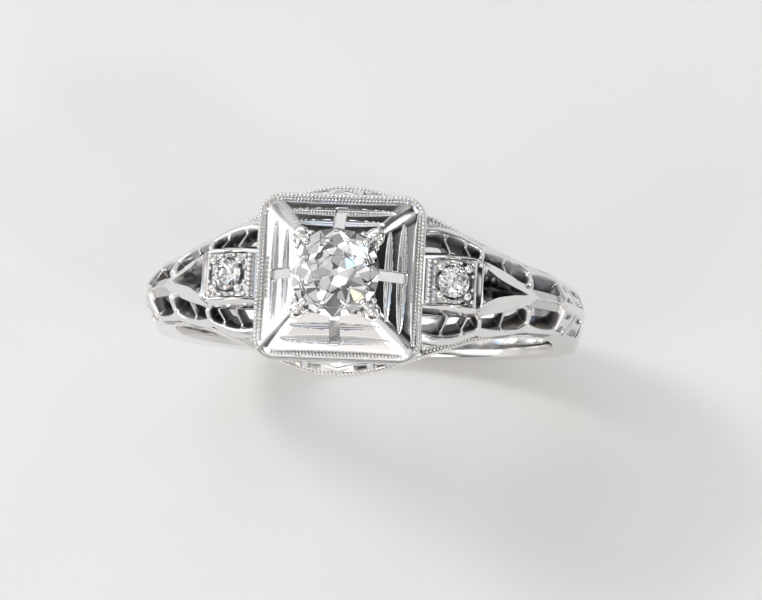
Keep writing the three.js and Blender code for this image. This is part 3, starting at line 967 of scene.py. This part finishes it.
def panel_distance(degrees, v):
    """Distance of the metal from the nearest hole: each lobe is cut by its edges and thin bars."""
    width = panel_width(degrees)
    floor = (hole_floor(degrees) - v) * width
    distance = np.full(np.broadcast(degrees, v).shape, 1.0)
    for lobe, top in enumerate(HOLE_TOPS):
        inside = [(v - top) * width, floor]
        left, right = BOUNDARIES[lobe], BOUNDARIES[lobe + 1]
        inside.append((degrees - bar_angle(left, v)) * MM_PER_DEGREE - left[2])
        inside.append((bar_angle(right, v) - degrees) * MM_PER_DEGREE - right[2])
        for thin in THIN_BARS:
            if left[0] < thin[0] < right[0]:
                inside.append(np.abs(degrees - bar_angle(thin, v)) * MM_PER_DEGREE - thin[2])
        distance = np.minimum(distance, -soft_min(inside, 0.045))
    return distance


def panel_lift(degrees, v, distance):
    """Relief of the side: a rounded scallop rim and lobe bars, sunk thin bars, and a plain flank; and
    painted shade in the sunk parts, the groove, round the holes' edges and along the border.
    """
    width = panel_width(degrees)
    from_floor = (v - hole_floor(degrees)) * width
    rim = np.clip(1 - ((from_floor - 0.22) / 0.26) ** 2, 0, 1)
    lobe_bar = np.zeros_like(rim)
    for line in BOUNDARIES[1:]:
        off = np.abs(degrees - bar_angle(line, v)) * MM_PER_DEGREE
        above = 1 - smoothstep(from_floor, 0.05, 0.3)
        lobe_bar = np.maximum(lobe_bar, above * np.clip(1 - (off / (line[2] + 0.02)) ** 2, 0, 1))
    lobe_bar = lobe_bar * smoothstep(v * width, 0.0, 0.25)
    raised = 0.17 * np.maximum(np.sqrt(rim), 0.85 * np.sqrt(lobe_bar))
    sunk = (1 - smoothstep(from_floor, -0.12, 0.02)) * (1 - np.sqrt(lobe_bar))
    sunk = sunk * smoothstep(v * width, 0.0, 0.12)
    groove = np.exp(-((from_floor - 0.51) / 0.035) ** 2)
    border = smoothstep(v, 0.84, 0.88)
    rounding = np.clip(1 - distance / 0.07, 0, 1) ** 2
    lift = raised - 0.13 * sunk - 0.05 * groove - 0.06 * rounding - 0.05 * border
    # painted shade in the sunk parts, the groove, round the holes' edges and along the border
    shade = np.clip(0.3 * sunk + 0.7 * groove + 0.65 * rounding ** 2 + 0.75 * border, 0, 1)
    return lift, shade


def panel(side, face):
    """One pierced side of a shoulder, from the head's wall to the shank."""
    def angle(u, v):
        """Angle round the ring at a place on the sheet."""
        return mix(PANEL_START + PANEL_LEAN * v, SHOULDER_END, u)

    def place(u, v, lift):
        """Point of the side, lifted off its plain surface."""
        return panel_point(side, face, angle(u, v), v, lift)

    return pierced(place, PANEL_GRID, PANEL_SIZE, lambda u, v: panel_distance(angle(u, v), v),
                   lambda u, v, f: panel_lift(angle(u, v), v, f), PANEL_THICKNESS)


class RING_OT_panels(Operator):
    """Pierce the four filigree sides of the shoulders"""

    bl_idname = "ring.add_panels"
    bl_label = "Filigree sides"

    def execute(self, context):
        gold = material_named("filigree_gold")
        for face_name, face in FACES:
            for side_name, side in SIDES:
                shell, shade = panel(side, face)
                add_piece(f"filigree_side_{face_name}_{side_name}", shell, gold,
                          [f"filigree_panel_{face_name}_{side_name}"], sharp=45, shade=shade)
        return {"FINISHED"}


def rail(face):
    """Half-round wire along the finger-side edge, from shoulder to shoulder."""
    degrees = np.linspace(-RAIL_END, RAIL_END, 180)
    x = RAIL_TOP_RADIUS * np.sin(np.radians(degrees))
    path = on_ring(degrees, face * (edge_half_width(x) - RAIL_HALF), RAIL_RADIUS)
    up = on_ring(degrees, 0 * degrees, 1.0)
    return bar(path, up, RAIL_HALF, RAIL_HALF, sides=16, power=3.5)


GALLERY_WINDOWS = (1.02, 1.84, 2.66)  # distances of the small windows from the wall's middle
GALLERY_HALF = 3.34
GALLERY_TOP = 9.56
GALLERY_STRAIGHT = 2.52              # where the wall's top edge begins to turn
GALLERY_CORNER = 0.9                 # radius of that turn
GALLERY_HEIGHT = 1.35
GALLERY_GRID = (300, 64)
GALLERY_SIZE = (6.7, 1.4)
GALLERY_THICKNESS = 0.32


def gallery_point(face, x, v, lift):
    """Wall under the head, from the frame (v = 0) out and down to the rail (v = 1)."""
    x, v, lift = np.broadcast_arrays(x, v, lift)
    past = np.clip(np.abs(x) - GALLERY_STRAIGHT, 0, GALLERY_CORNER)
    top_y = GALLERY_STRAIGHT + np.sqrt(GALLERY_CORNER ** 2 - past ** 2)
    foot_z = np.sqrt(PANEL_FOOT_RADIUS ** 2 - x ** 2)
    y = mix(top_y, edge_half_width(x), v) + lift
    return np.stack([x, face * y, mix(GALLERY_TOP, foot_z, v)], -1)


def gallery_distance(x, v):
    """Distance of the metal from the nearest small window."""
    distance = np.full(np.broadcast(x, v).shape, 1.0)
    for centre in GALLERY_WINDOWS:
        leaned = np.abs(x) - centre - 0.1 * (v - 0.66)
        inside = [0.26 - np.abs(leaned), (v - 0.5) * GALLERY_HEIGHT, (0.86 - v) * GALLERY_HEIGHT]
        distance = np.minimum(distance, -soft_min(inside, 0.03))
    return distance


def gallery_lift(x, v, distance):
    """Relief of the wall under the head: a full polished band with a pointed middle over the windows; and
    painted shade round the windows' edges and in the grooves.
    """
    band = np.clip(1 - ((v - 0.24) / 0.24) ** 2, 0, 1)
    peak = np.clip(1 - np.abs(x) / 0.62 - np.abs(v - 0.6) / 0.4, 0, 1)
    rounding = np.clip(1 - distance / 0.06, 0, 1) ** 2
    groove = np.exp(-((v - 0.485) / 0.02) ** 2) + np.exp(-((v - 0.885) / 0.02) ** 2)
    lift = 0.07 * np.sqrt(band) + 0.12 * peak - 0.05 * rounding - 0.03 * groove
    # painted shade round the windows' edges and in the grooves
    return lift, np.clip(0.3 * rounding + 0.4 * groove, 0, 1)


def gallery(face):
    """Pierced wall under one face of the head."""
    def across(u):
        """Distance along X at a place on the sheet."""
        return mix(-GALLERY_HALF, GALLERY_HALF, u)

    def place(u, v, lift):
        """Point of the wall, lifted off its plain surface."""
        return gallery_point(face, across(u), v, lift)

    return pierced(place, GALLERY_GRID, GALLERY_SIZE, lambda u, v: gallery_distance(across(u), v),
                   lambda u, v, f: gallery_lift(across(u), v, f), GALLERY_THICKNESS)


class RING_OT_galleries(Operator):
    """Fit the pierced walls under the head and the wires along the finger-side edges"""

    bl_idname = "ring.add_galleries"
    bl_label = "Galleries and rails"

    def execute(self, context):
        polished = material_named("polished_gold")
        filigree = material_named("filigree_gold")
        for name, face in FACES:
            shell, shade = gallery(face)
            add_piece(f"gallery_wall_{name}", shell, polished,
                      [f"gallery_{name}"], sharp=50, shade=shade)
            add_piece(f"edge_rail_{name}", rail(face), filigree,
                      [f"rail_{name}"], sharp=50)
        return {"FINISHED"}


# ------------------------------------------------------------------ milgrain
# milgrain rows on a shoulder side: height on the panel and last angle
SIDE_ROWS = ((0.82, 37), (0.9, 58), (0.98, 70))
SIDE_ROW_START = 23.9


def head_slope_height(sizes, half):
    """Height of the head's plain slope at a distance from its middle."""
    slope = (sizes.peak_height - sizes.rim_height) / (sizes.head_half - 0.1 - sizes.peak_half)
    return sizes.rim_height + slope * (sizes.head_half - 0.1 - half)


def turned(points, quarters):
    """Points turned about Z by a number of quarter turns."""
    for _ in range(quarters):
        points = np.stack([points[:, 1], -points[:, 0], points[:, 2]], -1)
    return points


class RING_OT_milgrain(Operator):
    """Roll the milgrain beads along the head, the shoulder sides and the rails"""

    bl_idname = "ring.add_milgrain"
    bl_label = "Milgrain"

    def execute(self, context):
        sizes = context.scene.ring_sizes
        gold = material_named("milgrain_gold")
        radius, pitch = sizes.bead_radius, sizes.bead_pitch
        for name, face in FACES:
            rows = []
            for side in (-1, 1):
                for v, end in SIDE_ROWS:
                    line = panel_point(side, face, np.linspace(SIDE_ROW_START + v, end, 300), v)
                    rows.append(spaced(line, pitch))
            degrees = np.linspace(-RAIL_END, RAIL_END, 600)
            x = RAIL_TOP_RADIUS * np.sin(np.radians(degrees))
            rows.append(spaced(on_ring(degrees, face * (edge_half_width(x) + 0.01), 8.62), pitch))
            rows.append(spaced(gallery_point(face, np.linspace(-3.2, 3.2, 200), 0.95, 0.03), pitch))
            add_piece(f"milgrain_{name}", beads(np.vstack(rows), radius), gold)
        shells = []
        for quarter in range(4):
            line = np.linspace([-2.85, 3.4, 0], [2.85, 3.4, 0], 200)
            line[:, 2] = head_slope_height(sizes, 3.4) - 0.02
            shells.append(beads(turned(spaced(line, 0.85 * pitch), quarter), 0.85 * radius))
            line = np.linspace([-2.2, 2.85, 0], [2.2, 2.85, 0], 200)
            line[:, 2] = head_slope_height(sizes, 2.85) - 0.07
            row = spaced(line, 0.75 * pitch)
            row = row[np.abs(row[:, 0]) > sizes.slot_half + 0.1]
            shells.append(beads(turned(row, quarter), 0.65 * radius))
        loop = border_loop(sizes, 0.02, 0.02, 200)
        loop = spaced(np.vstack([loop, loop[:1]]), pitch)[:-1]
        shells.append(beads(loop[loop[:, 1] > 0.35 - sizes.head_half], radius))
        add_piece("milgrain_head", joined(shells), gold)
        return {"FINISHED"}


# ------------------------------------------------------------------ shank
# strokes engraved beside the shoulders: middle and half length in degrees, inner and outer edge
STROKES = (
    (73.8, 2.4, 0.16, 0.36), (83.4, 2.9, 0.18, 0.36), (74.2, 2.4, 0.54, 0.76),
    (83.8, 2.9, 0.54, 0.76), (78.6, 0.9, 0.14, 0.84), (88.8, 0.9, 0.2, 0.76),
)
STROKE_DEPTH = 0.12
STROKE_SLOPE = 0.04                  # width of the strokes' sloping walls, mm
STROKE_SHADE = 5                     # painted shade in the strokes, per millimetre of their depth
INNER_COUNT = 16                     # points across the shank's inside


def dashes(folded, across):
    """Depth of the strokes engraved on the shank: full inside each box, sloping off at its edges."""
    reach = np.abs(across)
    depth = np.zeros(np.broadcast(folded, across).shape)
    for middle, half, low, high in STROKES:
        along = (half - np.abs(folded - middle)) * 0.17
        beside = np.minimum(reach - low, high - reach) * 1.3
        inside = np.clip(np.minimum(along, beside) / STROKE_SLOPE, 0, 1)
        depth = np.maximum(depth, STROKE_DEPTH * inside)
    return depth


def shank():
    """Band section carried from shoulder to shoulder round the back.

    The section is a ridge near the shoulders and a gentle dome behind, with softened edges and a
    slightly rounded inside. Short strokes are engraved beside the shoulders, with painted shade in them.
    """
    near = np.linspace(SHANK_START, 92, 90)
    degrees = np.concatenate([near, np.linspace(92, 268, 140)[1:-1], 360 - near[::-1]])[:, None]
    folded = np.minimum(degrees, 360 - degrees)
    back = smoothstep(folded, 90, 180)
    ridge = 1 - smoothstep(folded, SHANK_START, 108)
    edge_x = RAIL_TOP_RADIUS * np.sin(np.radians(np.minimum(folded, 90)))
    half = mix(edge_half_width(edge_x), 1.0, back)
    across = np.linspace(-1, 1, 81)[None]
    drop = mix(0.22 * across ** 2 + 0.06 * across ** 8, 0.95 * np.abs(across) ** 1.2, ridge)
    cut = dashes(folded, across)
    top = on_ring(degrees, half * across, outer_radius(folded) - drop - cut)
    inner_across = np.sin(np.linspace(1, -1, INNER_COUNT) * math.pi / 2)[None]
    inner = on_ring(degrees, (half - 0.02) * inner_across, FINGER_RADIUS + 0.1 * inner_across ** 6)
    # painted shade in the strokes; none on the inside
    shade = np.concatenate([STROKE_SHADE * cut, np.zeros((len(degrees), INNER_COUNT))], 1)
    return loft(np.concatenate([top, inner], 1)), np.concatenate([shade.ravel(), [0.0, 0.0]])


class RING_OT_shank(Operator):
    """Bend the plain shank round the back of the finger"""

    bl_idname = "ring.add_shank"
    bl_label = "Shank"

    def execute(self, context):
        shell, shade = shank()
        add_piece("shank_band", shell, material_named("polished_gold"),
                  ["shank"], sharp=50, shade=shade)
        return {"FINISHED"}


# ------------------------------------------------------------------ stage
# lights of the surroundings, dark patches where the strength is below zero: direction, inner and
# outer angle in degrees, colour, strength
SOFT_LIGHTS = (
    ((0.0, -0.95, 0.28), 22, 46, (1.0, 0.96, 0.95), 0.8),
    ((-0.97, 0.14, 0.2), 20, 42, (1.0, 0.99, 1.0), 1.1),
    ((-0.3, 0.35, 0.88), 9, 20, (0.95, 0.98, 1.0), 1.0),
    ((0.75, -0.1, 0.65), 4, 9, (1.0, 1.0, 1.0), 2.0),
    ((0.98, 0.1, 0.1), 4, 10, (1.0, 1.0, 1.0), 1.2),
    ((-0.08, 0.8, 0.6), 9, 20, (0.97, 0.98, 1.0), 0.9),
    ((0.6, 0.75, 0.5), 4, 9, (1.0, 0.98, 0.96), 1.6),
    ((-0.6, -0.6, 0.5), 5, 12, (1.0, 1.0, 1.0), 1.2),
    ((0.5, -0.75, 0.45), 4, 9, (1.0, 0.97, 0.95), 1.3),
    ((-0.5, -0.35, 0.79), 3, 7, (1.0, 0.75, 0.4), 4.0),
    ((0.02, 0.24, 0.97), 2, 6, (0.3, 0.6, 1.0), 2.5),
    ((0.3, -0.2, 0.93), 2, 5, (1.0, 0.7, 0.4), 2.0),
    ((-0.12, 0.5, 0.85), 3, 6, (0.25, 0.5, 1.0), 3.5),
    ((0.45, 0.3, 0.84), 3, 7, (1.0, 0.95, 0.85), 3.0),
    ((0.12, -0.14, 0.98), 2, 7, (1.0, 1.0, 1.0), -0.4),
    ((0.05, -0.42, 0.9), 8, 22, (1.0, 1.0, 1.0), -0.35),
    ((0.9, 0.14, 0.41), 9, 25, (1.0, 1.0, 0.97), -0.5),
    ((0.6, 0.75, 0.1), 8, 24, (1.0, 1.0, 1.0), -0.35),
    ((-0.2, 0.98, 0.02), 8, 20, (1.0, 1.0, 1.0), -0.2),
    ((-0.75, 0.1, 0.66), 6, 16, (1.0, 1.0, 1.0), -0.3),
)


def build_world():
    """Tent of soft lights round the ring; the camera itself sees a plain pale background."""
    world = bpy.data.worlds.new("light_tent")
    bpy.context.scene.world = world
    world.use_nodes = True
    tree = world.node_tree
    tree.nodes.clear()
    nodes, links = tree.nodes, tree.links
    direction = nodes.new("ShaderNodeTexCoord").outputs["Generated"]
    split = nodes.new("ShaderNodeSeparateXYZ")
    links.new(direction, split.inputs["Vector"])
    height = ramp(tree, split.outputs["Z"], -0.1, 1.0, 0.46, 0.58)
    folds = ramp(tree, noise(tree, direction, 3.2, 2.0), 0.42, 0.58, 0.25, 1.6)
    cloth = nodes.new("ShaderNodeMath")
    cloth.operation = "MULTIPLY"
    links.new(height, cloth.inputs[0])
    links.new(folds, cloth.inputs[1])
    total = nodes.new("ShaderNodeCombineXYZ")
    for axis in "XYZ":
        links.new(cloth.outputs["Value"], total.inputs[axis])
    total = total.outputs["Vector"]
    for towards, inner, outer, colour, strength in SOFT_LIGHTS:
        dot = nodes.new("ShaderNodeVectorMath")
        dot.operation = "DOT_PRODUCT"
        dot.inputs[1].default_value = tuple(unit(np.array(towards)))
        links.new(direction, dot.inputs[0])
        edge = nodes.new("ShaderNodeMapRange")
        edge.interpolation_type = "SMOOTHSTEP"
        edge.inputs["From Min"].default_value = math.cos(math.radians(outer))
        edge.inputs["From Max"].default_value = math.cos(math.radians(inner))
        links.new(dot.outputs["Value"], edge.inputs["Value"])
        glow = nodes.new("ShaderNodeVectorMath")
        glow.operation = "SCALE"
        glow.inputs[0].default_value = tuple(strength * c for c in colour)
        links.new(edge.outputs["Result"], glow.inputs["Scale"])
        add = nodes.new("ShaderNodeVectorMath")
        add.operation = "ADD"
        links.new(total, add.inputs[0])
        links.new(glow.outputs["Vector"], add.inputs[1])
        total = add.outputs["Vector"]
    floor = nodes.new("ShaderNodeVectorMath")
    floor.operation = "MAXIMUM"
    floor.inputs[1].default_value = (0.02, 0.02, 0.02)
    links.new(total, floor.inputs[0])
    tent = nodes.new("ShaderNodeBackground")
    links.new(floor.outputs["Vector"], tent.inputs["Color"])
    plain = nodes.new("ShaderNodeBackground")
    plain.inputs["Color"].default_value = (0.84, 0.84, 0.84, 1)
    seen = nodes.new("ShaderNodeLightPath")
    choose = nodes.new("ShaderNodeMixShader")
    links.new(seen.outputs["Is Camera Ray"], choose.inputs["Fac"])
    links.new(tent.outputs["Background"], choose.inputs[1])
    links.new(plain.outputs["Background"], choose.inputs[2])
    output = nodes.new("ShaderNodeOutputWorld")
    links.new(choose.outputs["Shader"], output.inputs["Surface"])


CAMERA_TURN = (6.73, 7.80)           # lean of the view from straight down on the head, in degrees
CAMERA_ROLL = 2.9
CAMERA_DISTANCE = 213.6              # mm from the head
CAMERA_LENS = 233.4                  # mm
CAMERA_AIM = (0.0, 0.0, 10.9)
CAMERA_OFFSET = (1.917, -1.108)      # sideways and upwards from the line through the head, mm
FLOOR_HALF = 600.0
# lamps: name, place and diameter in mm, power in W, colour
LAMPS = (
    ("key_light", (-110, 80, 185), 45, 0.11, (1.0, 0.99, 0.97)),
    ("spark_light", (110, -70, 170), 14, 0.03, (1.0, 1.0, 1.0)),
)


def build_camera():
    """Camera over the head, leaned and rolled, set a little to one side."""
    lean_x, lean_y = (math.radians(a) for a in CAMERA_TURN)
    back = np.array([math.sin(lean_x), -math.sin(lean_y), 0.0])
    back[2] = math.sqrt(1 - back @ back)
    up = unit(np.array([0.0, 1.0, 0.0]) - back * back[1])
    right = np.cross(up, back)
    roll = math.radians(CAMERA_ROLL)
    c, s = math.cos(roll), math.sin(roll)
    right, up = c * right + s * up, c * up - s * right
    place = np.array(CAMERA_AIM) + CAMERA_DISTANCE * back
    place = place + CAMERA_OFFSET[0] * right + CAMERA_OFFSET[1] * up
    data = bpy.data.cameras.new("camera")
    data.lens = CAMERA_LENS
    data.sensor_width = 36.0
    data.clip_start = 0.005
    data.clip_end = 10.0
    camera = bpy.data.objects.new("camera", data)
    bpy.context.scene.collection.objects.link(camera)
    matrix = np.eye(4)
    matrix[:3, :3] = np.stack([right, up, back], 1)
    matrix[:3, 3] = place * MM
    camera.matrix_world = matrix.T.tolist()
    bpy.context.scene.camera = camera


def area_light(name, place, size, power, colour):
    """A soft box aimed at the head."""
    data = bpy.data.lights.new(name, "AREA")
    data.shape = "DISK"
    data.size = size * MM
    data.energy = power
    data.color = colour
    light = bpy.data.objects.new(name, data)
    bpy.context.scene.collection.objects.link(light)
    place = np.array(place, float)
    back = unit(place - np.array(CAMERA_AIM))
    right = unit(np.cross([0.0, 1.0, 0.1], back))
    matrix = np.eye(4)
    matrix[:3, :3] = np.stack([right, np.cross(back, right), back], 1)
    matrix[:3, 3] = place * MM
    light.matrix_world = matrix.T.tolist()
    light.visible_camera = False


class RING_OT_stage(Operator):
    """Set the floor, the lights and the camera"""

    bl_idname = "ring.set_stage"
    bl_label = "Stage"

    def execute(self, context):
        bottom = float(SHANK_LOW[2])
        half = FLOOR_HALF
        corners = np.array([[-half, -half, bottom], [half, -half, bottom],
                            [half, half, bottom], [-half, half, bottom]])
        mesh = bpy.data.meshes.new("floor")
        mesh.from_pydata((corners * MM).tolist(), [], [(0, 1, 2, 3)])
        mesh.materials.append(material_named("floor_paper"))
        floor = bpy.data.objects.new("floor", mesh)
        context.scene.collection.objects.link(floor)
        build_world()
        build_camera()
        for lamp in LAMPS:
            area_light(*lamp)
        context.scene.view_settings.view_transform = "Standard"
        return {"FINISHED"}


# ------------------------------------------------------------------ add-on
class RING_PT_sidebar(Panel):
    """Sizes, finish and the pieces of the ring"""

    bl_label = "Engagement Ring"
    bl_idname = "RING_PT_sidebar"
    bl_space_type = "VIEW_3D"
    bl_region_type = "UI"
    bl_category = "Ring"

    def draw(self, context):
        for group in (context.scene.ring_sizes, context.scene.ring_finish):
            box = self.layout.box()
            for name in group.__annotations__:
                box.prop(group, name)
        for operator in PIECE_OPERATORS:
            self.layout.operator(operator.bl_idname)


PIECE_OPERATORS = (
    RING_OT_shank, RING_OT_bridges, RING_OT_panels, RING_OT_galleries, RING_OT_head_frame,
    RING_OT_head_plate, RING_OT_stones, RING_OT_milgrain, RING_OT_stage,
)
CLASSES = (RingSizes, RingFinish, *PIECE_OPERATORS, RING_PT_sidebar)


def register():
    """Make the ring's classes and its two groups of settings known."""
    for cls in CLASSES:
        bpy.utils.register_class(cls)
    bpy.types.Scene.ring_sizes = PointerProperty(type=RingSizes)
    bpy.types.Scene.ring_finish = PointerProperty(type=RingFinish)


def unregister():
    """Take them away again."""
    del bpy.types.Scene.ring_finish
    del bpy.types.Scene.ring_sizes
    for cls in reversed(CLASSES):
        bpy.utils.unregister_class(cls)


def main():
    """Build every piece in order."""
    register()
    for operator in PIECE_OPERATORS:
        group, name = operator.bl_idname.split(".")
        getattr(getattr(bpy.ops, group), name)()


if __name__ == "__main__":
    main()
